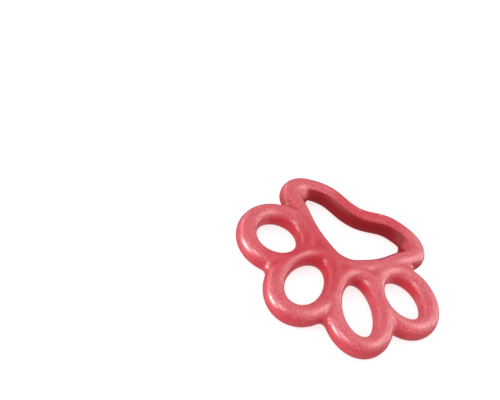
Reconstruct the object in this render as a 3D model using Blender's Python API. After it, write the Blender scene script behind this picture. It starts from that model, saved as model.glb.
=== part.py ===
"""Dog ring toy: one moulding of solid natural rubber in the outline of a paw print.

Five loops of one round bar run into each other: a wide palm loop with a notch at the heel, two
long inner toe loops that share a bar on the centre plane, and two rounder outer toe loops. It is
moulded in one piece, in a mould that parts at half height, so it has no joint and no fastener.

Metres, +Z up. The toy lies flat on Z = 0, with X across the paw, the heel towards +Y, the toes
towards -Y, and the origin below the middle of its outline.
"""

import math

import bmesh
import bpy
from mathutils import Vector

MM = 0.001

# Bar, measured square to its run, with the full height before the flats are cut
TOE_BAR_WIDTH = 13.6 * MM
PALM_BAR_WIDTH = 14.6 * MM
BAR_HEIGHT = 15.0 * MM
BAR_FULLNESS = 2.1
FLAT_DEPTH = 0.3 * MM
BLEND_RADIUS = 3.2 * MM

# Palm loop: the run of the bar's centre, from the tip between the toes up to the heel
PALM_LENGTH = 58.4 * MM
NOTCH_DEPTH = 6.2 * MM
LOBE_SPACING = 59.6 * MM
PALM_WIDTH = 97.9 * MM
WIDEST_BELOW_LOBES = 12.9 * MM
FLANK_WIDTH = 77.4 * MM
FLANK_ABOVE_TIP = 29.1 * MM
SHOULDER_WIDTH = 36.4 * MM
SHOULDER_ABOVE_TIP = 8.1 * MM
PALM_HOLE_CORNER_RADIUS = 8.6 * MM

# Inner toe loops
INNER_TOE_WIDTH = 37.3 * MM
INNER_TOE_LENGTH = 58.8 * MM
INNER_TOE_LEAN = math.radians(14.4)
INNER_TOE_EGG = 0.05
INNER_TOE_BELOW_PALM = 0.6 * MM

# Outer toe loops
OUTER_TOE_WIDTH = 40.4 * MM
OUTER_TOE_LENGTH = 46.1 * MM
OUTER_TOE_LEAN = math.radians(28.5)
OUTER_TOE_EGG = 0.0
OUTER_TOE_BEARING = math.radians(43.4)
SHARED_BAR_OVERLAP = 1.9 * MM

# Fineness of the surface
RING_POINTS = 96
SECTION_POINTS = 32
PALM_STEPS = 16
SEAM_GAP = 0.001 * MM
GRAIN = 0.8 * MM
VALLEY_PASSES = 12
FILLET_PASSES = 6
FACETS = 9800

RUBBER_RED = (0.60, 0.035, 0.050, 1.0)
RUBBER_ROUGHNESS = 0.42


def clear_scene():
    """Removes whatever the file opened with."""
    for obj in list(bpy.data.objects):
        bpy.data.objects.remove(obj, do_unlink=True)


def linked(name, data):
    """Puts new object data into the scene."""
    obj = bpy.data.objects.new(name, data)
    bpy.context.scene.collection.objects.link(obj)
    return obj


def toe_run(width, length, lean, egg):
    """Centre-line of a toe loop about its own middle: a leaning oval, wider at the tip by egg."""
    points = []
    for step in range(RING_POINTS):
        turn = 2 * math.pi * step / RING_POINTS
        across = width / 2 * math.sin(turn) * (1 + egg * math.cos(turn))
        along = length / 2 * math.cos(turn)
        x = across * math.cos(lean) + along * math.sin(lean)
        y = across * math.sin(lean) - along * math.cos(lean)
        points.append(Vector((x, y)))
    return points


def oval_reach(width, length, lean, bearing):
    """Distance from the middle of a leaning oval to its edge, towards a bearing from +X."""
    across = math.cos(bearing - lean)
    along = math.sin(bearing - lean)
    return 1 / math.hypot(across / (width / 2), along / (length / 2))


def oval_bend(width, length):
    """Radius of an oval's tightest bend."""
    return min(width, length) ** 2 / (2 * max(width, length))


def palm_run():
    """Knots of the palm loop's centre-line, once round from the notch, with the tip at (0, 0)."""
    right = [
        (LOBE_SPACING / 2, PALM_LENGTH),
        (PALM_WIDTH / 2, PALM_LENGTH - WIDEST_BELOW_LOBES),
        (FLANK_WIDTH / 2, FLANK_ABOVE_TIP),
        (SHOULDER_WIDTH / 2, SHOULDER_ABOVE_TIP),
    ]
    left = [(-x, y) for x, y in reversed(right)]
    return [Vector((0, PALM_LENGTH - NOTCH_DEPTH)), *map(Vector, right), Vector((0, 0)), *map(Vector, left)]


def swollen_outline(width, swell, turn):
    """Point at a turn round the bar's section, a circle with fuller shoulders, swollen all round."""
    across = math.copysign(abs(math.cos(turn)) ** (2 / BAR_FULLNESS), math.cos(turn))
    up = math.copysign(abs(math.sin(turn)) ** (2 / BAR_FULLNESS), math.sin(turn))
    return (width / 2 + swell) * across, (BAR_HEIGHT / 2 + swell) * up


def section_curve(name, width, swell):
    """The swollen section as a closed curve to sweep."""
    curve = bpy.data.curves.new(name, "CURVE")
    curve.dimensions = "2D"
    curve.fill_mode = "NONE"
    spline = curve.splines.new("POLY")
    spline.points.add(SECTION_POINTS - 1)
    spline.use_cyclic_u = True
    for step in range(SECTION_POINTS):
        across, up = swollen_outline(width, swell, 2 * math.pi * step / SECTION_POINTS)
        spline.points[step].co = (across, up, 0, 1)
    return linked(name, curve)


def run_curve(name, points, smooth_knots):
    """A closed run in the plane, through smooth knots or straight from point to point."""
    curve = bpy.data.curves.new(name, "CURVE")
    curve.dimensions = "3D"
    curve.twist_mode = "Z_UP"
    if smooth_knots:
        spline = curve.splines.new("BEZIER")
        spline.bezier_points.add(len(points) - 1)
        spline.resolution_u = PALM_STEPS
        for knot, point in zip(spline.bezier_points, points):
            knot.co = (point.x, point.y, 0)
            knot.handle_left_type = "AUTO"
            knot.handle_right_type = "AUTO"
    else:
        spline = curve.splines.new("POLY")
        spline.points.add(len(points) - 1)
        for knot, point in zip(spline.points, points):
            knot.co = (point.x, point.y, 0, 1)
    spline.use_cyclic_u = True
    return linked(name, curve)


def swept_bar(name, width, swell, points, smooth_knots=False):
    """Sweeps the swollen section round a closed run, as a closed mesh."""
    section = section_curve(name + "_section", width, swell)
    run = run_curve(name + "_run", points, smooth_knots)
    run.data.bevel_mode = "OBJECT"
    run.data.bevel_object = section
    mesh = bpy.data.meshes.new_from_object(run.evaluated_get(bpy.context.evaluated_depsgraph_get()))
    bpy.data.objects.remove(run, do_unlink=True)
    bpy.data.objects.remove(section, do_unlink=True)
    bm = bmesh.new()
    bm.from_mesh(mesh)
    bmesh.ops.remove_doubles(bm, verts=bm.verts, dist=SEAM_GAP)
    bmesh.ops.recalc_face_normals(bm, faces=bm.faces)
    bm.to_mesh(mesh)
    bm.free()
    return linked(name, mesh)


def hole_core(name, points, tightest_bend):
    """What a swollen toe bar leaves free inside its run: a plug whose rim fits the bar's inner side."""
    middle = sum(points, Vector((0, 0))) / len(points)
    clear_height = BAR_HEIGHT + BLEND_RADIUS
    levels = [(0, clear_height)]
    for step in range(SECTION_POINTS // 2 + 1):
        turn = math.pi / 2 - 2 * math.pi * step / SECTION_POINTS
        inset, height = swollen_outline(TOE_BAR_WIDTH, BLEND_RADIUS, turn)
        levels.append((min(inset, tightest_bend), height))
    levels.append((0, -clear_height))
    bm = bmesh.new()
    rims = []
    for inset, height in levels:
        rim = []
        for index, point in enumerate(points):
            along = points[(index + 1) % len(points)] - points[index - 1]
            inward = Vector((-along.y, along.x)).normalized()
            if inward.dot(middle - point) < 0:
                inward.negate()
            place = point + inset * inward
            rim.append(bm.verts.new((place.x, place.y, height)))
        rims.append([bm.edges.new((rim[index - 1], rim[index])) for index in range(len(rim))])
    for upper, lower in zip(rims, rims[1:]):
        bmesh.ops.bridge_loops(bm, edges=upper + lower)
    for cap in (rims[0], rims[-1]):
        bmesh.ops.edgeloop_fill(bm, edges=cap)
    bmesh.ops.recalc_face_normals(bm, faces=bm.faces)
    mesh = bpy.data.meshes.new(name)
    bm.to_mesh(mesh)
    bm.free()
    return linked(name, mesh)


def remesh(obj, name):
    """Takes everything that passes through each other as one solid with an even skin."""
    skin = obj.modifiers.new(name, "REMESH")
    skin.mode = "VOXEL"
    skin.voxel_size = GRAIN
    skin.use_smooth_shade = True


def displace(obj, name, distance):
    """Moves the skin out along its normals, or in for a distance below 0."""
    move = obj.modifiers.new(name, "DISPLACE")
    move.direction = "NORMAL"
    move.mid_level = 0
    move.strength = distance


def soften(obj, name, passes):
    """Evens out the steps that the remeshing leaves."""
    smooth = obj.modifiers.new(name, "SMOOTH")
    smooth.factor = 0.5
    smooth.iterations = passes


def round_palm_hole(palm_bar):
    """Draws the palm bar in to the toes' swell, which rounds its hole's corners on the way."""
    remesh(palm_bar, "one_skin")
    soften(palm_bar, "soften_corners", FILLET_PASSES)
    displace(palm_bar, "draw_in", BLEND_RADIUS - PALM_HOLE_CORNER_RADIUS)


def paw_loops():
    """The five bars round the palm tip as (0, 0). A toe's bar is cut back from its neighbour's hole."""
    inner = toe_run(INNER_TOE_WIDTH, INNER_TOE_LENGTH, INNER_TOE_LEAN, INNER_TOE_EGG)
    inner_middle = Vector((
        -min(point.x for point in inner),
        -INNER_TOE_BELOW_PALM - max(point.y for point in inner),
    ))
    reach = (
        oval_reach(INNER_TOE_WIDTH, INNER_TOE_LENGTH, INNER_TOE_LEAN, OUTER_TOE_BEARING)
        + oval_reach(OUTER_TOE_WIDTH, OUTER_TOE_LENGTH, OUTER_TOE_LEAN, OUTER_TOE_BEARING)
        - SHARED_BAR_OVERLAP
    )
    outer = toe_run(OUTER_TOE_WIDTH, OUTER_TOE_LENGTH, OUTER_TOE_LEAN, OUTER_TOE_EGG)
    outer_middle = inner_middle + reach * Vector((math.cos(OUTER_TOE_BEARING), math.sin(OUTER_TOE_BEARING)))

    palm_bar = swept_bar("palm_bar", PALM_BAR_WIDTH, PALM_HOLE_CORNER_RADIUS, palm_run(), smooth_knots=True)
    round_palm_hole(palm_bar)
    bars = [palm_bar]
    cores = []
    toes = (
        ("inner_toe", inner, inner_middle, oval_bend(INNER_TOE_WIDTH, INNER_TOE_LENGTH)),
        ("outer_toe", outer, outer_middle, oval_bend(OUTER_TOE_WIDTH, OUTER_TOE_LENGTH)),
    )
    for side, sign in (("right", 1), ("left", -1)):
        pair = []
        for toe, run, middle, bend in toes:
            points = [Vector((sign * (middle.x + point.x), middle.y + point.y)) for point in run]
            bar = swept_bar(f"{toe}_bar_{side}", TOE_BAR_WIDTH, BLEND_RADIUS, points)
            core = hole_core(f"{toe}_core_{side}", points, bend)
            pair.append((bar, core))
        (inner_bar, inner_core), (outer_bar, outer_core) = pair
        for bar, core in ((inner_bar, outer_core), (outer_bar, inner_core)):
            clear = bar.modifiers.new("clear_of_neighbour_hole", "BOOLEAN")
            clear.operation = "DIFFERENCE"
            clear.solver = "EXACT"
            clear.object = core
        bars += [inner_bar, outer_bar]
        cores += [inner_core, outer_core]
    return bars, cores


def joined_mesh(name, bars):
    """One mesh of all the bars, which still pass through each other."""
    graph = bpy.context.evaluated_depsgraph_get()
    bm = bmesh.new()
    for bar in bars:
        shaped = bpy.data.meshes.new_from_object(bar.evaluated_get(graph))
        bm.from_mesh(shaped)
        bpy.data.meshes.remove(shaped)
    mesh = bpy.data.meshes.new(name)
    bm.to_mesh(mesh)
    bm.free()
    return mesh


def centre_outline(mesh):
    """Moves the mesh so that its outline is centred on the origin and its lower flat is on Z = 0."""
    ys = [vertex.co.y for vertex in mesh.vertices]
    shift = Vector((0, -(min(ys) + max(ys)) / 2, BAR_HEIGHT / 2 - FLAT_DEPTH))
    for vertex in mesh.vertices:
        vertex.co += shift


def slab(name, reach, thickness):
    """Block that keeps what lies between the two flats, which are a thickness apart."""
    bm = bmesh.new()
    bmesh.ops.create_cube(bm, size=1)
    bmesh.ops.scale(bm, vec=(reach, reach, thickness), verts=bm.verts)
    bmesh.ops.translate(bm, vec=(0, 0, thickness / 2), verts=bm.verts)
    mesh = bpy.data.meshes.new(name)
    bm.to_mesh(mesh)
    bm.free()
    cutter = linked(name, mesh)
    cutter.display_type = "WIRE"
    cutter.hide_render = True
    return cutter


def rubber_material():
    """Bright red natural rubber with a dull, waxy shine."""
    material = bpy.data.materials.new("red_rubber")
    material.use_nodes = True
    shader = material.node_tree.nodes["Principled BSDF"]
    shader.inputs["Base Color"].default_value = RUBBER_RED
    shader.inputs["Roughness"].default_value = RUBBER_ROUGHNESS
    shader.inputs["Metallic"].default_value = 0.0
    return material


def melt_bars_together(ring):
    """Modifiers that make one skin of the bars, fill the valleys between them and cut the flats.

    The swollen bars are taken as one solid, and its skin is drawn in by the blend radius. Round
    outer surfaces come to the bar's own size, and each sharp valley opens to a fillet. The skin is
    thinned out last, so that flat and gently curved stretches get fewer facets than tight bends.
    """
    remesh(ring, "one_skin")
    soften(ring, "soften_valleys", VALLEY_PASSES)
    displace(ring, "draw_in", -BLEND_RADIUS)
    remesh(ring, "even_out")
    soften(ring, "soften_fillets", FILLET_PASSES)

    width = 2 * max(vertex.co.x for vertex in ring.data.vertices)
    flats = ring.modifiers.new("flats", "BOOLEAN")
    flats.operation = "INTERSECT"
    flats.solver = "EXACT"
    flats.object = slab("between_flats", 2 * width, BAR_HEIGHT - 2 * FLAT_DEPTH)

    graph = bpy.context.evaluated_depsgraph_get()
    fine = ring.evaluated_get(graph).data
    triangles = len(fine.loops) - 2 * len(fine.polygons)
    thin_out = ring.modifiers.new("thin_out", "DECIMATE")
    thin_out.decimate_type = "COLLAPSE"
    thin_out.ratio = min(1, FACETS / triangles)


def main():
    clear_scene()
    bars, cores = paw_loops()
    mesh = joined_mesh("rubber_paw_ring", bars)
    for helper in bars + cores:
        bpy.data.objects.remove(helper, do_unlink=True)
    centre_outline(mesh)
    mesh.materials.append(rubber_material())
    ring = linked("rubber_paw_ring", mesh)
    melt_bars_together(ring)


main()
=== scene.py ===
"""Rubber paw ring: the looks of a chew ring toy in a paw-print outline.

The packed part is the fixed frame. One operator moulds the ring again with a fine, even skin and its
parting line, one sets the two small moulding nibs on the heel bar, and one sets up the studio.
Metres, +Z up: the toy lies flat on Z = 0, with the heel towards +Y and the toes towards -Y.
"""

import math

import bmesh
import bpy
from bpy.props import FloatProperty, FloatVectorProperty, IntProperty, PointerProperty
from mathutils import Matrix, Vector
from mathutils.bvhtree import BVHTree
from mathutils.geometry import interpolate_bezier


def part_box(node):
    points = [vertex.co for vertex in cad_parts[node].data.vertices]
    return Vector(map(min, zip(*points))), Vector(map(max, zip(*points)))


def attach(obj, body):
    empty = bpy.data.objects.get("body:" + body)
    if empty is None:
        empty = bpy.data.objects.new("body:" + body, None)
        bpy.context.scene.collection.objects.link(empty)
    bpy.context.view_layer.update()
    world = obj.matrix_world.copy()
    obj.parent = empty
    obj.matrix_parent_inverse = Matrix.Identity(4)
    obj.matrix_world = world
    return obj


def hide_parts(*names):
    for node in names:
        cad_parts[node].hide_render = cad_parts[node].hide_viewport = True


bl_info = {
    "name": "Rubber Paw Ring",
    "version": (1, 0, 0),
    "blender": (4, 5, 0),
    "location": "View3D > Sidebar > Paw Ring",
    "description": "Models a chew ring toy in a paw-print outline, its red rubber and its studio",
    "category": "Object",
}

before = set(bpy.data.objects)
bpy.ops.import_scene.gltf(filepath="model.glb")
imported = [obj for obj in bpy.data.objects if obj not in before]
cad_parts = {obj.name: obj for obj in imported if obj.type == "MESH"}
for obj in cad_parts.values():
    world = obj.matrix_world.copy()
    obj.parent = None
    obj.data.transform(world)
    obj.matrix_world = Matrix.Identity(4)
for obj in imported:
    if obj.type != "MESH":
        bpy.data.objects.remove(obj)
cad_low, cad_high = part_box("rubber_paw_ring")

MM = 0.001

# The length of a handle as a share of the way to the next knot, as in Blender's automatic handles.
HANDLE_SHARE = 1 / 2.5614

# A wall looks across its hole with a fan of rays: their bearings from its normal in degrees, and how far
# from the wall they start, to clear the bulge of its own bar.
RAY_BEARINGS = (-60, -36, -12, 12, 36, 60)
RAY_START = 8 * MM

# How level a normal is where rubber starts to count as a wall, and where it counts in full.
WALL_FROM, WALL_FULL = 0.5, 0.75

# How far a wall's normal points along X where it starts to count as a side wall, and where it counts in full.
SIDE_FROM, SIDE_FULL = 0.5, 0.85

# Nearly all of a noise lies between these values.
NOISE_LOW, NOISE_HIGH = 0.3, 0.7

# Sides of a nib round its middle.
NIB_SIDES = 24

# The camera's place in metres, its turn as a quaternion, its lens and sensor in millimetres, and how near it
# sees in metres.
CAMERA_PLACE = (-0.11630927, -0.48139552, 0.46537491)
CAMERA_TURN = (0.89296457, 0.3849165, -0.12129898, 0.19934927)
CAMERA_LENS = 71.97
CAMERA_SENSOR = 36
CAMERA_NEAREST = 0.05

# How far the floor reaches each way, in metres.
FLOOR_REACH = 3

# The lights, each 1 m from the toy: name, bearing from +X and height in degrees, width and depth in metres,
# the setting that holds the power, and whether the light is seen only as a reflection.
LIGHTS = (
    ("top_softbox", 216, 66, 1.0, 1.0, "top_power", False),
    ("left_softbox", 220, 24, 0.5, 0.35, "left_power", False),
    ("key_softbox", 45, 45, 0.4, 0.4, "key_power", False),
    ("right_softbox", 0, 24, 0.5, 0.35, "right_power", False),
    ("back_softbox", 80, 20, 0.7, 0.3, "back_power", False),
    ("key_highlight", 30, 49, 0.75, 0.25, "key_shine", True),
    ("front_highlight", 236, 41, 0.35, 0.35, "front_shine", True),
    ("back_highlight", 38, 12, 0.5, 0.3, "back_shine", True),
    ("far_highlight", 152, 10, 0.7, 0.3, "far_shine", True),
    ("left_highlight", 205, 3, 0.55, 0.2, "left_shine", True),
)


def millimetres(name, description, default):
    """A length for the sidebar, with its default given in millimetres."""
    length = default * MM
    return FloatProperty(
        name=name, description=description, default=length, min=0, soft_max=0.2, precision=4, unit="LENGTH"
    )


def spot(name, description, default):
    """A place for the sidebar, in metres."""
    size = len(default)
    return FloatVectorProperty(name=name, description=description, default=default, size=size, unit="LENGTH")


def degrees(name, description, default):
    """An angle for the sidebar, with its default given in degrees."""
    return FloatProperty(name=name, description=description, default=math.radians(default), subtype="ANGLE")


def share(name, description, default):
    """A plain number from 0 to 1 for the sidebar."""
    return FloatProperty(name=name, description=description, default=default, min=0, max=1, subtype="FACTOR")


def whole(name, description, default, least=0):
    """A whole number for the sidebar."""
    return IntProperty(name=name, description=description, default=default, min=least)


def watts(name, description, default):
    """A light's power for the sidebar."""
    return FloatProperty(
        name=name, description=description, default=default, min=0, soft_max=100, unit="POWER"
    )


def colour(name, description, default):
    """A linear colour for the sidebar."""
    return FloatVectorProperty(
        name=name, description=description, default=default, size=3, min=0, max=1, subtype="COLOR"
    )


class PawRingBarSizes(bpy.types.PropertyGroup):
    """The round bar that every loop is made of."""

    toe_width: millimetres("Toe bar width", "Width of the bar round each toe hole", 13.6)
    palm_width: millimetres("Palm bar width", "Width of the bar round the palm hole", 14.6)
    height: millimetres("Bar height", "Height of the bar", (cad_high.z - cad_low.z) / MM)
    fullness: FloatProperty(
        name="Fullness", description="2 is an oval section, more has fuller shoulders", default=2.12, min=1
    )
    blend_radius: millimetres("Blend radius", "Fillet in the valleys where loops meet", 3.2)
    palm_corner_radius: millimetres("Palm corner radius", "Radius of the palm hole's corners", 8.6)
    seam_height: millimetres("Parting line height", "How far the parting line stands out", 0.1)
    seam_width: millimetres("Parting line width", "Width of the parting line at its foot", 0.7)


class PawRingPalmSizes(bpy.types.PropertyGroup):
    """The run of the palm loop, from its tip between the toes up to the heel."""

    length: millimetres("Palm length", "From the tip to the lobes of the heel", 58.4)
    notch_depth: millimetres("Notch depth", "How far the heel's notch lies below the lobes", 6.2)
    lobe_spacing: millimetres("Lobe spacing", "Distance between the lobes of the heel", 59.6)
    width: millimetres("Palm width", "Width of the run where it is widest", 97.9)
    widest_below_lobes: millimetres("Widest below lobes", "Height of the widest place below the lobes", 12.9)
    flank_width: millimetres("Flank width", "Width of the run halfway down", 77.4)
    flank_above_tip: millimetres("Flank above tip", "Height of the flanks above the tip", 29.1)
    shoulder_width: millimetres("Shoulder width", "Width of the run near the tip", 36.4)
    shoulder_above_tip: millimetres("Shoulder above tip", "Height of the shoulders above the tip", 8.1)


class PawRingToeSizes(bpy.types.PropertyGroup):
    """The runs of the toe loops and their places."""

    inner_width: millimetres("Inner toe width", "Width of an inner toe's run", 37.3)
    inner_length: millimetres("Inner toe length", "Length of an inner toe's run", 58.8)
    inner_lean: degrees("Inner toe lean", "How far an inner toe leans outwards", 14.4)
    inner_egg: share("Inner toe egg", "How much wider an inner toe is towards its tip", 0.05)
    inner_below_palm: millimetres("Inner toe below palm", "From the palm's tip down to an inner toe", 0.6)
    outer_width: millimetres("Outer toe width", "Width of an outer toe's run", 40.4)
    outer_length: millimetres("Outer toe length", "Length of an outer toe's run", 46.1)
    outer_lean: degrees("Outer toe lean", "How far an outer toe leans outwards", 28.5)
    outer_bearing: degrees("Outer toe bearing", "Direction from an inner toe to its outer toe", 43.4)
    shared_overlap: millimetres("Shared bar overlap", "How far the runs of neighbouring toes overlap", 1.9)


class PawRingSkin(bpy.types.PropertyGroup):
    """How finely the ring's skin is made."""

    run_points: whole("Run points", "Sections round a toe loop", 120, 24)
    section_sides: whole("Section sides", "Sides of the bar's section", 40, 12)
    knot_steps: whole("Knot steps", "Sections between two knots of the palm loop", 16, 4)
    first_grain: millimetres("First grain", "Size of a facet while the loops are melted together", 0.7)
    grain: millimetres("Grain", "Size of a facet of the finished skin", 0.66)
    valley_passes: whole("Valley passes", "Smoothing of the open valleys", 14)
    fillet_passes: whole("Fillet passes", "Smoothing of the finished skin", 12)


class PawRingBloomAndPaintedLight(bpy.types.PropertyGroup):
    """Where the pale bloom with its painted sheen goes, and where painted shade darkens the walls."""

    crown_passes: whole("Crown passes", "Smoothing of the skin that a crown is measured against", 50)
    crown_height: millimetres("Crown height", "How far a full crown stands out of the smoothed skin", 0.4)
    # These place the painted shade on the walls of the holes.
    palm_from: millimetres("Palm hole from", "Y from which a hole's wall is the palm hole's", 10)
    narrow_hole: millimetres("Narrow hole", "Distance across that gives a wall no shelter", 20)
    wide_hole: millimetres("Wide hole", "Distance across that gives a wall full shelter", 32)
    sight: millimetres("Sight", "How far a wall looks for the other side of its hole", 96)
    # Bloom on the walls is painted sheen.
    side_wall: share("Side wall bloom", "Bloom on the side walls of the toe holes", 0.6)
    outer_wall: share("Outer wall bloom", "Bloom on the outer walls", 0.36)


class PawRingRubber(bpy.types.PropertyGroup):
    """The colours and the feel of the rubber, with its painted shade, painted sheen and painted nib
    highlight.
    """

    body_colour: colour("Body colour", "Clean rubber", (0.585, 0.026, 0.043))
    # Painted shade: this deep colour darkens the palm hole's walls and the hollows.
    painted_shade_colour: colour("Deep colour", "Rubber in the hollows, where nothing rubs it", (0.27, 0.009, 0.014))
    # The bloom colour is partly a real pale bloom and partly painted sheen on what faces the light.
    bloom_and_sheen_colour: colour("Bloom colour", "Rubber with a pale waxy bloom", (0.69, 0.148, 0.178))
    # The pale nib colour is a painted highlight.
    nib_highlight_colour: colour("Torn colour", "Rubber where the nibs were torn off the mould", (0.92, 0.24, 0.28))
    # The heel's dull place is painted shade: less pale bloom, sheen and gloss on the heel.
    heel_shade_middle: spot("Heel middle", "Middle of the dull place on the heel", (0.008, 0.058, 0.007))
    heel_shade_near: millimetres("Heel near", "Dullest up to this distance from its middle", 16)
    heel_shade_far: millimetres("Heel far", "No longer dull from this distance", 42)
    # The clean place is painted shade: deeper red beside the middle, with little pale bloom.
    paw_shade_middle: spot("Clean middle", "Middle of the place that is rubbed clean", (-0.023, -0.011, 0.007))
    paw_shade_near: millimetres("Clean near", "Cleanest up to this distance from its middle", 12)
    paw_shade_far: millimetres("Clean far", "No longer clean from this distance", 52)
    patch_size: millimetres("Patch size", "Size of the uneven patches of bloom", 14)
    mottle_size: millimetres("Mottle size", "Size of the soft mottling", 2.2)
    speckle_size: millimetres("Speckle size", "Size of the pale specks", 0.8)
    grain_size: millimetres("Grain size", "Size of the fine grain left by the mould", 0.7)
    dust_size: millimetres("Dust size", "Size of the dark specks", 0.6)
    roughness: share("Roughness", "Roughness of clean rubber", 0.48)
    grain_height: millimetres("Grain height", "Height of the fine grain left by the mould", 0.05)


class PawRingNibSizes(bpy.types.PropertyGroup):
    """The two nibs that the mould leaves on the heel."""

    width: millimetres("Nib width", "Width of a nib at its foot", 1.7)
    height: millimetres("Nib height", "How far a nib stands out of the rubber", 0.62)
    first_place: spot("First nib", "Place of the first nib on the heel", (0.0006, 0.0536))
    second_place: spot("Second nib", "Place of the second nib on the heel", (0.0163, 0.0585))


class PawRingStudio(bpy.types.PropertyGroup):
    """The floor, the lights and the camera."""

    floor_colour: colour("Floor colour", "Pale studio floor", (0.42, 0.42, 0.42))
    floor_glow: share("Floor glow", "How brightly the floor shines by itself", 0.73)
    ambient: share("Ambient light", "Brightness of the pale room", 0.28)
    top_power: watts("Top light", "Power of the softbox overhead", 4.7)
    left_power: watts("Left light", "Power of the softbox at the left", 4.8)
    key_power: watts("Key light", "Power of the softbox above the right side", 1.7)
    right_power: watts("Right light", "Power of the softbox at the right", 2.7)
    back_power: watts("Back light", "Power of the softbox behind the heel", 2.7)
    key_shine: watts("Key highlight", "Power of what the rubber mirrors above the right side", 6.5)
    front_shine: watts("Front highlight", "Power of what the rubber mirrors before its left side", 6.5)
    back_shine: watts("Back highlight", "Power of what the rubber mirrors behind the heel", 2.6)
    far_shine: watts("Far highlight", "Power of what the rubber mirrors behind its left side", 3.0)
    left_shine: watts("Left highlight", "Power of what the rubber mirrors low at the left", 33.0)


def new_object(name, mesh):
    """Puts a mesh into the scene as an object at the origin."""
    obj = bpy.data.objects.new(name, mesh)
    bpy.context.scene.collection.objects.link(obj)
    return obj


def mesh_of(bm, name):
    """Closes a bmesh into a mesh."""
    mesh = bpy.data.meshes.new(name)
    bm.to_mesh(mesh)
    bm.free()
    return mesh


def sort_facets(bm):
    """Sorts the facets by their corners, because a sphere's facets come in another order each run."""
    bm.verts.index_update()

    def rank(face):
        number = 0
        for index in sorted(vert.index for vert in face.verts):
            number = number * len(bm.verts) + index
        return number

    bm.faces.sort(key=rank)


def remove(obj):
    """Takes a helper and its mesh out of the file."""
    mesh = obj.data
    bpy.data.objects.remove(obj, do_unlink=True)
    bpy.data.meshes.remove(mesh)


def settle(obj):
    """Makes what the modifiers give the object's own mesh."""
    shaped = bpy.data.meshes.new_from_object(obj.evaluated_get(bpy.context.evaluated_depsgraph_get()))
    obj.modifiers.clear()
    plain = obj.data
    obj.data = shaped
    bpy.data.meshes.remove(plain)


def oval_run(width, length, lean, egg, count):
    """Points of a toe's run about its own middle: a leaning oval, wider at the tip by egg."""
    points = []
    for step in range(count):
        turn = 2 * math.pi * step / count
        across = width / 2 * math.sin(turn) * (1 + egg * math.cos(turn))
        along = length / 2 * math.cos(turn)
        x = across * math.cos(lean) + along * math.sin(lean)
        y = across * math.sin(lean) - along * math.cos(lean)
        points.append(Vector((x, y, 0)))
    return points


def oval_reach(width, length, lean, bearing):
    """Distance from the middle of a leaning oval to its edge, towards a bearing from +X."""
    across = math.cos(bearing - lean)
    along = math.sin(bearing - lean)
    return 1 / math.hypot(across / (width / 2), along / (length / 2))


def smooth_run(knots, steps):
    """Points of a closed smooth run through the knots."""
    handles = []
    for index, knot in enumerate(knots):
        back = knots[index - 1] - knot
        ahead = knots[(index + 1) % len(knots)] - knot
        along = (ahead.normalized() - back.normalized()).normalized() * HANDLE_SHARE
        handles.append((knot - along * back.length, knot + along * ahead.length))
    points = []
    for index, knot in enumerate(knots):
        following = (index + 1) % len(knots)
        leaving, arriving = handles[index][1], handles[following][0]
        points += interpolate_bezier(knot, leaving, arriving, knots[following], steps + 1)[:-1]
    return points


def palm_run(palm, steps):
    """Points of the palm loop's run, once round from the notch, with its tip at the origin."""
    right = [
        (palm.lobe_spacing / 2, palm.length),
        (palm.width / 2, palm.length - palm.widest_below_lobes),
        (palm.flank_width / 2, palm.flank_above_tip),
        (palm.shoulder_width / 2, palm.shoulder_above_tip),
    ]
    left = [(-x, y) for x, y in reversed(right)]
    knots = [(0, palm.length - palm.notch_depth), *right, (0, 0), *left]
    return smooth_run([Vector((x, y, 0)) for x, y in knots], steps)


def section_point(turn, width, height, fullness):
    """Across and up to the point at a turn round the bar's section."""
    across = math.copysign(abs(math.cos(turn)) ** (2 / fullness), math.cos(turn))
    up = math.copysign(abs(math.sin(turn)) ** (2 / fullness), math.sin(turn))
    return width / 2 * across, height / 2 * up


def swollen(bars, width, extra):
    """Width and height of the bar's section with extra rubber all round."""
    return width + 2 * extra, bars.height + 2 * extra


def lofted_bar(name, run, width, height, bars, sides):
    """Stands a ring of the bar's section at each point of a closed run and bridges ring to ring."""
    bm = bmesh.new()
    rings = []
    for index, place in enumerate(run):
        along = (run[(index + 1) % len(run)] - run[index - 1]).normalized()
        outward = Vector((along.y, -along.x, 0))
        ring = bmesh.ops.create_circle(bm, segments=sides, radius=1)["verts"]
        for vert in ring:
            turn = math.atan2(vert.co.y, vert.co.x)
            across, up = section_point(turn, width, height, bars.fullness)
            vert.co = place + across * outward + Vector((0, 0, up))
        rings.append(ring)
    edges = [list({edge for vert in ring for edge in vert.link_edges}) for ring in rings]
    for index, ring_edges in enumerate(edges):
        bmesh.ops.bridge_loops(bm, edges=edges[index - 1] + ring_edges)
    bmesh.ops.recalc_face_normals(bm, faces=bm.faces)
    return new_object(name, mesh_of(bm, name))


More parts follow.
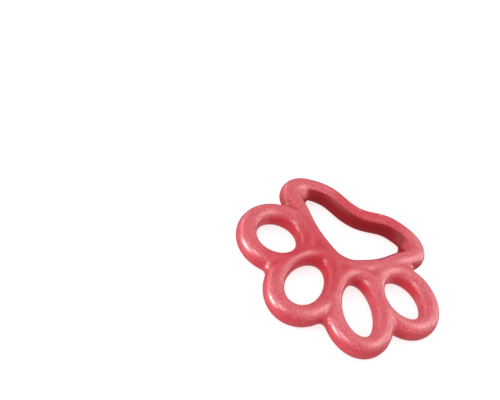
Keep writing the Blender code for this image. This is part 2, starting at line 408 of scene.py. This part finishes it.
def hole_core(name, run, tightest_bend, bars, skin):
    """The plug that a swollen toe bar leaves free inside its run."""
    middle = sum(run, Vector()) / len(run)
    width, height = swollen(bars, bars.toe_width, bars.blend_radius)
    levels = [(0, height)]
    for step in range(skin.section_sides // 2 + 1):
        turn = math.pi / 2 - 2 * math.pi * step / skin.section_sides
        inset, up = section_point(turn, width, height, bars.fullness)
        levels.append((min(inset, tightest_bend), up))
    levels.append((0, -height))
    bm = bmesh.new()
    rims = []
    for inset, up in levels:
        rim = bmesh.ops.create_circle(bm, segments=len(run), radius=1)["verts"]
        for index, vert in enumerate(rim):
            along = run[(index + 1) % len(run)] - run[index - 1]
            inward = Vector((-along.y, along.x, 0)).normalized()
            if inward.dot(middle - run[index]) < 0:
                inward.negate()
            vert.co = run[index] + inset * inward + Vector((0, 0, up))
        rims.append(list({edge for vert in rim for edge in vert.link_edges}))
    for upper, lower in zip(rims, rims[1:]):
        bmesh.ops.bridge_loops(bm, edges=upper + lower)
    for cap in (rims[0], rims[-1]):
        bmesh.ops.edgeloop_fill(bm, edges=cap)
    bmesh.ops.recalc_face_normals(bm, faces=bm.faces)
    return new_object(name, mesh_of(bm, name))


def remesh(obj, size):
    """Takes everything that passes through each other as one solid with an even skin."""
    skin = obj.modifiers.new("even_skin", "REMESH")
    skin.mode = "VOXEL"
    skin.voxel_size = size
    skin.use_smooth_shade = True


def soften(obj, passes):
    """Evens out the steps that the remeshing leaves."""
    smooth = obj.modifiers.new("soften", "SMOOTH")
    smooth.factor = 0.5
    smooth.iterations = passes


def draw(obj, distance):
    """Moves the skin out along its normals, or in for a distance below 0."""
    move = obj.modifiers.new("draw", "DISPLACE")
    move.direction = "NORMAL"
    move.mid_level = 0
    move.strength = distance


def toe_bars(bars, toes, skin):
    """The four swollen toe bars, each cut back from its neighbour's hole."""
    inner = oval_run(toes.inner_width, toes.inner_length, toes.inner_lean, toes.inner_egg, skin.run_points)
    inner_middle = Vector((-min(p.x for p in inner), -toes.inner_below_palm - max(p.y for p in inner), 0))
    outer = oval_run(toes.outer_width, toes.outer_length, toes.outer_lean, 0, skin.run_points)
    apart = (
        oval_reach(toes.inner_width, toes.inner_length, toes.inner_lean, toes.outer_bearing)
        + oval_reach(toes.outer_width, toes.outer_length, toes.outer_lean, toes.outer_bearing)
        - toes.shared_overlap
    )
    bearing = Vector((math.cos(toes.outer_bearing), math.sin(toes.outer_bearing), 0))
    outer_middle = inner_middle + apart * bearing
    width, height = swollen(bars, bars.toe_width, bars.blend_radius)
    made = []
    for side in (1, -1):
        pair = []
        for run, middle, sizes in (
            (inner, inner_middle, (toes.inner_width, toes.inner_length)),
            (outer, outer_middle, (toes.outer_width, toes.outer_length)),
        ):
            placed = [Vector((side * (middle.x + p.x), middle.y + p.y, 0)) for p in run]
            bend = min(sizes) ** 2 / (2 * max(sizes))
            bar = lofted_bar("toe_bar", placed, width, height, bars, skin.section_sides)
            pair.append((bar, hole_core("toe_core", placed, bend, bars, skin)))
        for (bar, _), (_, core) in (pair, pair[::-1]):
            cut = bar.modifiers.new("clear_of_neighbour", "BOOLEAN")
            cut.operation = "DIFFERENCE"
            cut.solver = "EXACT"
            cut.object = core
        for bar, _ in pair:
            settle(bar)
            made.append(bar)
        for _, core in pair:
            remove(core)
    return made


def palm_bar(bars, palm, skin):
    """The palm bar, swollen as much as the toe bars, with its hole's corners rounded."""
    width, height = swollen(bars, bars.palm_width, bars.palm_corner_radius)
    bar = lofted_bar("palm_bar", palm_run(palm, skin.knot_steps), width, height, bars, skin.section_sides)
    remesh(bar, skin.first_grain)
    soften(bar, skin.valley_passes)
    draw(bar, bars.blend_radius - bars.palm_corner_radius)
    settle(bar)
    return bar


def melted(parts, bars, skin):
    """One skin over all the bars, drawn in so that the valleys between them open to fillets."""
    bm = bmesh.new()
    for bar in parts:
        bm.from_mesh(bar.data)
        remove(bar)
    ring = new_object("paw_ring_rubber", mesh_of(bm, "paw_ring_rubber"))
    remesh(ring, skin.first_grain)
    soften(ring, skin.valley_passes)
    draw(ring, -bars.blend_radius)
    remesh(ring, skin.grain)
    soften(ring, skin.fillet_passes)
    settle(ring)
    return ring


def fit_to_frame(mesh):
    """Moves the skin to the middle of the packed part's box and brings it to the same height."""
    low = Vector(min(v.co[axis] for v in mesh.vertices) for axis in range(3))
    high = Vector(max(v.co[axis] for v in mesh.vertices) for axis in range(3))
    grow = (cad_high.z - cad_low.z) / (high.z - low.z)
    middle = (cad_low + cad_high) / 2
    to_origin = Matrix.Translation(-(low + high) / 2)
    mesh.transform(Matrix.Translation(middle) @ Matrix.Diagonal((1, 1, grow, 1)) @ to_origin)


def raise_parting_line(mesh, bars):
    """Cuts three edge loops round every wall at half height and draws the middle one out."""
    half = (cad_low.z + cad_high.z) / 2
    same_level = bars.seam_width / 20
    bm = bmesh.new()
    bm.from_mesh(mesh)
    levels = (half - bars.seam_width / 2, half, half + bars.seam_width / 2)
    for level in levels:
        bmesh.ops.bisect_plane(
            bm,
            geom=bm.verts[:] + bm.edges[:] + bm.faces[:],
            dist=same_level,
            plane_co=(0, 0, level),
            plane_no=(0, 0, 1),
        )
    bm.normal_update()
    for vert in bm.verts:
        below_crest = abs(vert.co.z - half) / (bars.seam_width / 2)
        if below_crest < 1:
            vert.co += vert.normal * bars.seam_height * (1 - below_crest)
    bm.to_mesh(mesh)
    bm.free()


def store(obj, name, values):
    """Stores a number for each point of the mesh."""
    attribute = obj.data.attributes.new(name, "FLOAT", "POINT")
    attribute.data.foreach_set("value", values)


def ramp(value, start, full):
    """How far a value has come from start to full, from 0 to 1."""
    return min(1.0, max(0.0, (value - start) / (full - start)))


def store_crown(ring, bloom_and_painted_light):
    """Stores how far each point stands out of its surroundings, from 0 in a hollow to 1 on a crown."""
    soften(ring, bloom_and_painted_light.crown_passes)
    smoothed = ring.evaluated_get(bpy.context.evaluated_depsgraph_get()).to_mesh()
    crowns = []
    for vert, even in zip(ring.data.vertices, smoothed.vertices):
        crowns.append(ramp((vert.co - even.co).dot(vert.normal), -bloom_and_painted_light.crown_height, bloom_and_painted_light.crown_height))
    ring.modifiers.clear()
    store(ring, "crown", crowns)


def store_painted_shade(ring, bloom_and_painted_light):
    """Stores where painted shade darkens each wall, and how much pale bloom and painted sheen each point
    takes.

    The painted shade is full on the palm hole's wall. On a toe hole's wall it grows with the distance across.
    face is 1 on level rubber, lower on the outer walls and on the side walls of the toe holes, and 0 on the
    rest of the walls; it sets the share of pale bloom and painted sheen.
    """
    tree = BVHTree.FromObject(ring, bpy.context.evaluated_depsgraph_get())
    fans = [Matrix.Rotation(math.radians(bearing), 3, "Z") for bearing in RAY_BEARINGS]
    half = (cad_low.z + cad_high.z) / 2
    painted_shades, faces = [], []
    for vert in ring.data.vertices:
        outward = Vector((vert.normal.x, vert.normal.y, 0))
        wall = ramp(outward.length, WALL_FROM, WALL_FULL)
        shelter, face = 0.0, abs(vert.normal.z)
        if wall > 0:
            outward.normalize()
            start = vert.co + outward * RAY_START
            start.z = half
            across = [tree.ray_cast(start, fan @ outward, bloom_and_painted_light.sight)[3] for fan in fans]
            closed = sum(distance is not None for distance in across) / len(fans)
            mean = sum(distance or 0 for distance in across) / len(fans)
            in_palm_hole = start.y > bloom_and_painted_light.palm_from
            wide = 1 if in_palm_hole else ramp(mean, bloom_and_painted_light.narrow_hole, bloom_and_painted_light.wide_hole)
            shelter = wall * closed * wide
            if closed == 1:
                sideways = ramp(abs(outward.x), SIDE_FROM, SIDE_FULL)
                face = max(face, bloom_and_painted_light.side_wall * (1 - wide) * sideways)
            else:
                face = max(face, bloom_and_painted_light.outer_wall * wall * (1 - closed))
        painted_shades.append(shelter)
        faces.append(face)
    store(ring, "shelter", painted_shades)
    store(ring, "face", faces)


class ShaderSheet:
    """A node tree with short calls to add and join its nodes."""

    def __init__(self, tree):
        self.tree = tree
        tree.nodes.clear()

    def node(self, kind, inputs=None, **settings):
        """Adds a node. An input is a value or another node's output."""
        made = self.tree.nodes.new(kind)
        for key, value in settings.items():
            setattr(made, key, value)
        for key, value in (inputs or {}).items():
            if isinstance(value, bpy.types.NodeSocket):
                self.tree.links.new(value, made.inputs[key])
            else:
                made.inputs[key].default_value = value
        return made

    def blend(self, share_of_b, a, b):
        """A colour between a and b. Sockets of other kinds have the same names, so these go by number."""
        return self.node("ShaderNodeMix", {0: share_of_b, 6: a, 7: b}, data_type="RGBA").outputs[2]

    def sums(self, operation, *values):
        """A Math node over two numbers."""
        return self.node("ShaderNodeMath", dict(enumerate(values)), operation=operation).outputs[0]

    def product(self, first, *others):
        """All the numbers multiplied with each other."""
        for other in others:
            first = self.sums("MULTIPLY", first, other)
        return first

    def stored(self, name):
        """A number that is stored for each point of the mesh."""
        return self.node("ShaderNodeAttribute", attribute_name=name).outputs["Fac"]

    def distance(self, place, middle):
        """Distance of a place from a middle."""
        return self.node("ShaderNodeVectorMath", {0: place, 1: middle}, operation="DISTANCE").outputs["Value"]

    def ranged(self, value, low, high, to_low, to_high):
        """A number brought from one range to another, smoothly and clamped."""
        inputs = {"Value": value, "From Min": low, "From Max": high, "To Min": to_low, "To Max": to_high}
        return self.node("ShaderNodeMapRange", inputs, interpolation_type="SMOOTHSTEP").outputs["Result"]

    def noise(self, place, size, detail, roughness=0.5):
        """A soft noise with features of about that size in metres."""
        inputs = {"Vector": place, "Scale": 1 / size, "Detail": detail, "Roughness": roughness}
        return self.node("ShaderNodeTexNoise", inputs).outputs["Fac"]

    def spread(self, noise, to_low, to_high):
        """A noise spread over a range."""
        return self.ranged(noise, NOISE_LOW, NOISE_HIGH, to_low, to_high)


def rubber_material(rubber):
    """Red rubber with a waxy bloom and painted sheen on what stands out, painted shade in the hollows and on
    the hole walls, a pale painted highlight on the nibs, a fine moulded grain and soft uneven patches.
    """
    material = bpy.data.materials.new("red_rubber")
    material.use_nodes = True
    sheet = ShaderSheet(material.node_tree)
    place = sheet.node("ShaderNodeTexCoord").outputs["Object"]
    crown, face = sheet.stored("crown"), sheet.stored("face")
    shelter, torn = sheet.stored("shelter"), sheet.stored("torn")
    # Painted shade: the heel keeps less of the pale bloom and sheen.
    from_heel_shade = sheet.distance(place, rubber.heel_shade_middle)
    outside_heel_shade = sheet.ranged(from_heel_shade, rubber.heel_shade_near, rubber.heel_shade_far, 0.0, 1.0)
    # Painted shade beside the middle of the paw.
    from_paw_shade = sheet.distance(place, rubber.paw_shade_middle)

    patches = sheet.noise(place, rubber.patch_size, 3)
    mottle = sheet.noise(place, rubber.mottle_size, 4, 0.6)
    grain = sheet.noise(place, rubber.grain_size, 3, 0.6)
    speckle = sheet.noise(place, rubber.speckle_size, 1)
    dust = sheet.noise(place, rubber.dust_size, 1)

    # What each cause leaves of the pale bloom and painted sheen: level faces and random patches keep it;
    # painted shade on the heel, beside the middle, on the sheltered walls and in the hollows takes it away.
    bloom_and_painted_light = sheet.product(
        sheet.ranged(face, 0.1, 0.85, 0.0, 1.0),
        sheet.spread(mottle, 0.65, 0.9),
        sheet.spread(speckle, 0.15, 1.75),
        sheet.ranged(outside_heel_shade, 0.0, 1.0, 0.4, 1.0),
        sheet.ranged(from_paw_shade, rubber.paw_shade_near, rubber.paw_shade_far, 0.2, 1.12),
        sheet.ranged(shelter, 0.0, 0.8, 1.0, 0.1),
        sheet.spread(patches, 0.65, 1.1),
        sheet.ranged(crown, 0.3, 0.6, 0.3, 1.0),
    )
    # Painted shade in the hollows and on the sheltered walls, plus random dark dust specks.
    shade_and_dust = sheet.sums(
        "MAXIMUM", sheet.ranged(crown, 0.35, 0.6, 0.08, 0.0), sheet.ranged(shelter, 0.0, 0.8, 0.0, 1.0)
    )
    shade_and_dust = sheet.sums("ADD", shade_and_dust, sheet.spread(dust, 0.28, -0.12))
    tint = sheet.blend(shade_and_dust, (*rubber.body_colour, 1), (*rubber.painted_shade_colour, 1))
    tint = sheet.blend(bloom_and_painted_light, tint, (*rubber.bloom_and_sheen_colour, 1))
    # The nibs are painted pale: a painted highlight.
    tint = sheet.blend(torn, tint, (*rubber.nib_highlight_colour, 1))

    rough = sheet.sums("ADD", rubber.roughness, sheet.spread(mottle, -0.05, 0.07))
    polish = sheet.product(
        sheet.ranged(shelter, 0.0, 0.6, 1.0, 0.03),
        sheet.ranged(outside_heel_shade, 0.0, 1.0, 0.15, 1.0),
        sheet.spread(grain, 0.55, 1.0),
    )
    heights = sheet.sums("ADD", grain, sheet.sums("MULTIPLY", mottle, 1.5))
    bump = sheet.node("ShaderNodeBump", {"Height": heights, "Distance": rubber.grain_height, "Strength": 0.9})
    shader = sheet.node(
        "ShaderNodeBsdfPrincipled",
        {
            "Base Color": tint,
            "Roughness": rough,
            "Normal": bump.outputs["Normal"],
            "IOR": 1.45,
            "Specular IOR Level": 0.15,
            "Coat Weight": polish,
            "Coat Roughness": 0.34,
            "Coat IOR": 1.46,
            "Subsurface Weight": 0.06,
            "Subsurface Radius": (1.0, 0.1, 0.1),
            "Subsurface Scale": 0.002,
        },
    )
    sheet.node("ShaderNodeOutputMaterial", {"Surface": shader.outputs["BSDF"]})
    return material


def floor_material(studio):
    """Pale matt floor with a faint glow, as on a light table."""
    material = bpy.data.materials.new("pale_floor")
    material.use_nodes = True
    sheet = ShaderSheet(material.node_tree)
    tint = (*studio.floor_colour, 1)
    glow = {"Emission Color": (1, 1, 1, 1), "Emission Strength": studio.floor_glow}
    shader = sheet.node("ShaderNodeBsdfPrincipled", {"Base Color": tint, "Roughness": 0.8, **glow})
    sheet.node("ShaderNodeOutputMaterial", {"Surface": shader.outputs["BSDF"]})
    return material


def lay_floor(studio):
    """Lays the floor, which the rubber doesn't mirror."""
    bm = bmesh.new()
    bmesh.ops.create_grid(bm, x_segments=1, y_segments=1, size=FLOOR_REACH)
    floor = new_object("floor", mesh_of(bm, "floor"))
    floor.data.materials.append(floor_material(studio))
    floor.visible_glossy = False
    return floor


def set_camera(scene):
    """Sets the camera where the photograph was taken from."""
    camera = bpy.data.objects.new("camera", bpy.data.cameras.new("camera"))
    scene.collection.objects.link(camera)
    camera.data.lens = CAMERA_LENS
    camera.data.sensor_width = CAMERA_SENSOR
    camera.data.clip_start = CAMERA_NEAREST
    camera.location = CAMERA_PLACE
    camera.rotation_mode = "QUATERNION"
    camera.rotation_quaternion = CAMERA_TURN
    scene.camera = camera


def light_room(scene, studio):
    """Gives the room an even pale light."""
    world = bpy.data.worlds.new("pale_room")
    world.use_nodes = True
    background = world.node_tree.nodes["Background"]
    background.inputs["Color"].default_value = (1, 1, 1, 1)
    background.inputs["Strength"].default_value = studio.ambient
    scene.world = world


def hang_light(scene, name, bearing, height, width, depth, power, mirrored):
    """Hangs a soft light 1 m from the toy, facing it. It gives either light or a reflection."""
    light = bpy.data.lights.new(name, "AREA")
    light.shape = "RECTANGLE"
    light.size = width
    light.size_y = depth
    light.energy = power
    lamp = bpy.data.objects.new(name, light)
    scene.collection.objects.link(lamp)
    turn, rise = math.radians(bearing), math.radians(height)
    away = Vector((math.cos(rise) * math.cos(turn), math.cos(rise) * math.sin(turn), math.sin(rise)))
    lamp.location = away
    lamp.rotation_mode = "QUATERNION"
    lamp.rotation_quaternion = away.to_track_quat("Z", "Y")
    lamp.visible_diffuse = not mirrored
    lamp.visible_glossy = mirrored


class PAWRING_OT_mould_ring(bpy.types.Operator):
    """Mould the ring: five loops of one bar melted into each other, with a parting line at half height"""

    bl_idname = "paw_ring.mould_ring"
    bl_label = "Mould the Ring"
    bl_options = {"REGISTER", "UNDO"}

    def execute(self, context):
        scene = context.scene
        bars, skin = scene.paw_ring_bars, scene.paw_ring_skin
        parts = [palm_bar(bars, scene.paw_ring_palm, skin), *toe_bars(bars, scene.paw_ring_toes, skin)]
        ring = melted(parts, bars, skin)
        fit_to_frame(ring.data)
        raise_parting_line(ring.data, bars)
        store_crown(ring, scene.paw_ring_bloom)
        store_painted_shade(ring, scene.paw_ring_bloom)
        ring.data.shade_smooth()
        ring.data.materials.clear()
        ring.data.materials.append(rubber_material(scene.paw_ring_rubber))
        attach(ring, "root")
        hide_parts("rubber_paw_ring")
        return {"FINISHED"}


class PAWRING_OT_set_nibs(bpy.types.Operator):
    """Set the two small nibs on the heel, seated on the rubber"""

    bl_idname = "paw_ring.set_nibs"
    bl_label = "Set the Nibs"
    bl_options = {"REGISTER", "UNDO"}

    def execute(self, context):
        nibs = context.scene.paw_ring_nibs
        ring = bpy.data.objects["paw_ring_rubber"]
        skin = BVHTree.FromObject(ring, context.evaluated_depsgraph_get())
        bm = bmesh.new()
        for place in (nibs.first_place, nibs.second_place):
            foot, normal, _, _ = skin.ray_cast(Vector((*place, 2 * cad_high.z)), Vector((0, 0, -1)))
            pose = Matrix.Translation(foot) @ normal.to_track_quat("Z", "Y").to_matrix().to_4x4()
            pose = pose @ Matrix.Diagonal((nibs.width / 2, nibs.width / 2, nibs.height, 1))
            bmesh.ops.create_uvsphere(
                bm, u_segments=NIB_SIDES, v_segments=NIB_SIDES // 2, radius=1, matrix=pose
            )
        sort_facets(bm)
        pair = new_object("paw_ring_nibs", mesh_of(bm, "paw_ring_nibs"))
        pair.data.shade_smooth()
        pair.data.materials.append(ring.data.materials[0])
        # The nibs take full bloom and the pale colour of their painted highlight.
        for name in ("crown", "face", "torn"):
            store(pair, name, [1.0] * len(pair.data.vertices))
        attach(pair, "root")
        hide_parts("rubber_paw_ring")
        return {"FINISHED"}


class PAWRING_OT_build_studio(bpy.types.Operator):
    """Set up the pale floor, the soft lights and the camera"""

    bl_idname = "paw_ring.build_studio"
    bl_label = "Build the Studio"
    bl_options = {"REGISTER", "UNDO"}

    def execute(self, context):
        scene = context.scene
        studio = scene.paw_ring_studio
        floor = lay_floor(studio)
        set_camera(scene)
        light_room(scene, studio)
        for name, bearing, height, width, depth, setting, mirrored in LIGHTS:
            hang_light(scene, name, bearing, height, width, depth, getattr(studio, setting), mirrored)
        scene.view_settings.view_transform = "Standard"
        return {"FINISHED"}


class PAWRING_PT_sidebar(bpy.types.Panel):
    """Sizes, colours and steps of the paw ring."""

    bl_idname = "PAWRING_PT_sidebar"
    bl_label = "Paw Ring"
    bl_space_type = "VIEW_3D"
    bl_region_type = "UI"
    bl_category = "Paw Ring"

    def draw(self, context):
        layout = self.layout
        for name, group in PROPERTY_GROUPS:
            box = layout.box()
            box.label(text=group.__doc__)
            for prop in group.__annotations__:
                box.prop(getattr(context.scene, name), prop)
        for operator in OPERATORS:
            layout.operator(operator.bl_idname)


PROPERTY_GROUPS = (
    ("paw_ring_bars", PawRingBarSizes),
    ("paw_ring_palm", PawRingPalmSizes),
    ("paw_ring_toes", PawRingToeSizes),
    ("paw_ring_skin", PawRingSkin),
    ("paw_ring_bloom", PawRingBloomAndPaintedLight),
    ("paw_ring_rubber", PawRingRubber),
    ("paw_ring_nibs", PawRingNibSizes),
    ("paw_ring_studio", PawRingStudio),
)
OPERATORS = (PAWRING_OT_mould_ring, PAWRING_OT_set_nibs, PAWRING_OT_build_studio)


def register():
    """Adds the classes and hangs the settings on the scene."""
    for name, group in PROPERTY_GROUPS:
        bpy.utils.register_class(group)
        setattr(bpy.types.Scene, name, PointerProperty(type=group))
    for operator in OPERATORS:
        bpy.utils.register_class(operator)
    bpy.utils.register_class(PAWRING_PT_sidebar)


def unregister():
    """Takes the settings and the classes away again."""
    bpy.utils.unregister_class(PAWRING_PT_sidebar)
    for operator in reversed(OPERATORS):
        bpy.utils.unregister_class(operator)
    for name, group in reversed(PROPERTY_GROUPS):
        delattr(bpy.types.Scene, name)
        bpy.utils.unregister_class(group)


def main():
    """Registers the add-on and runs its steps in order."""
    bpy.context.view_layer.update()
    register()
    bpy.ops.paw_ring.mould_ring()
    bpy.ops.paw_ring.set_nibs()
    bpy.ops.paw_ring.build_studio()


if __name__ == "__main__":
    main()
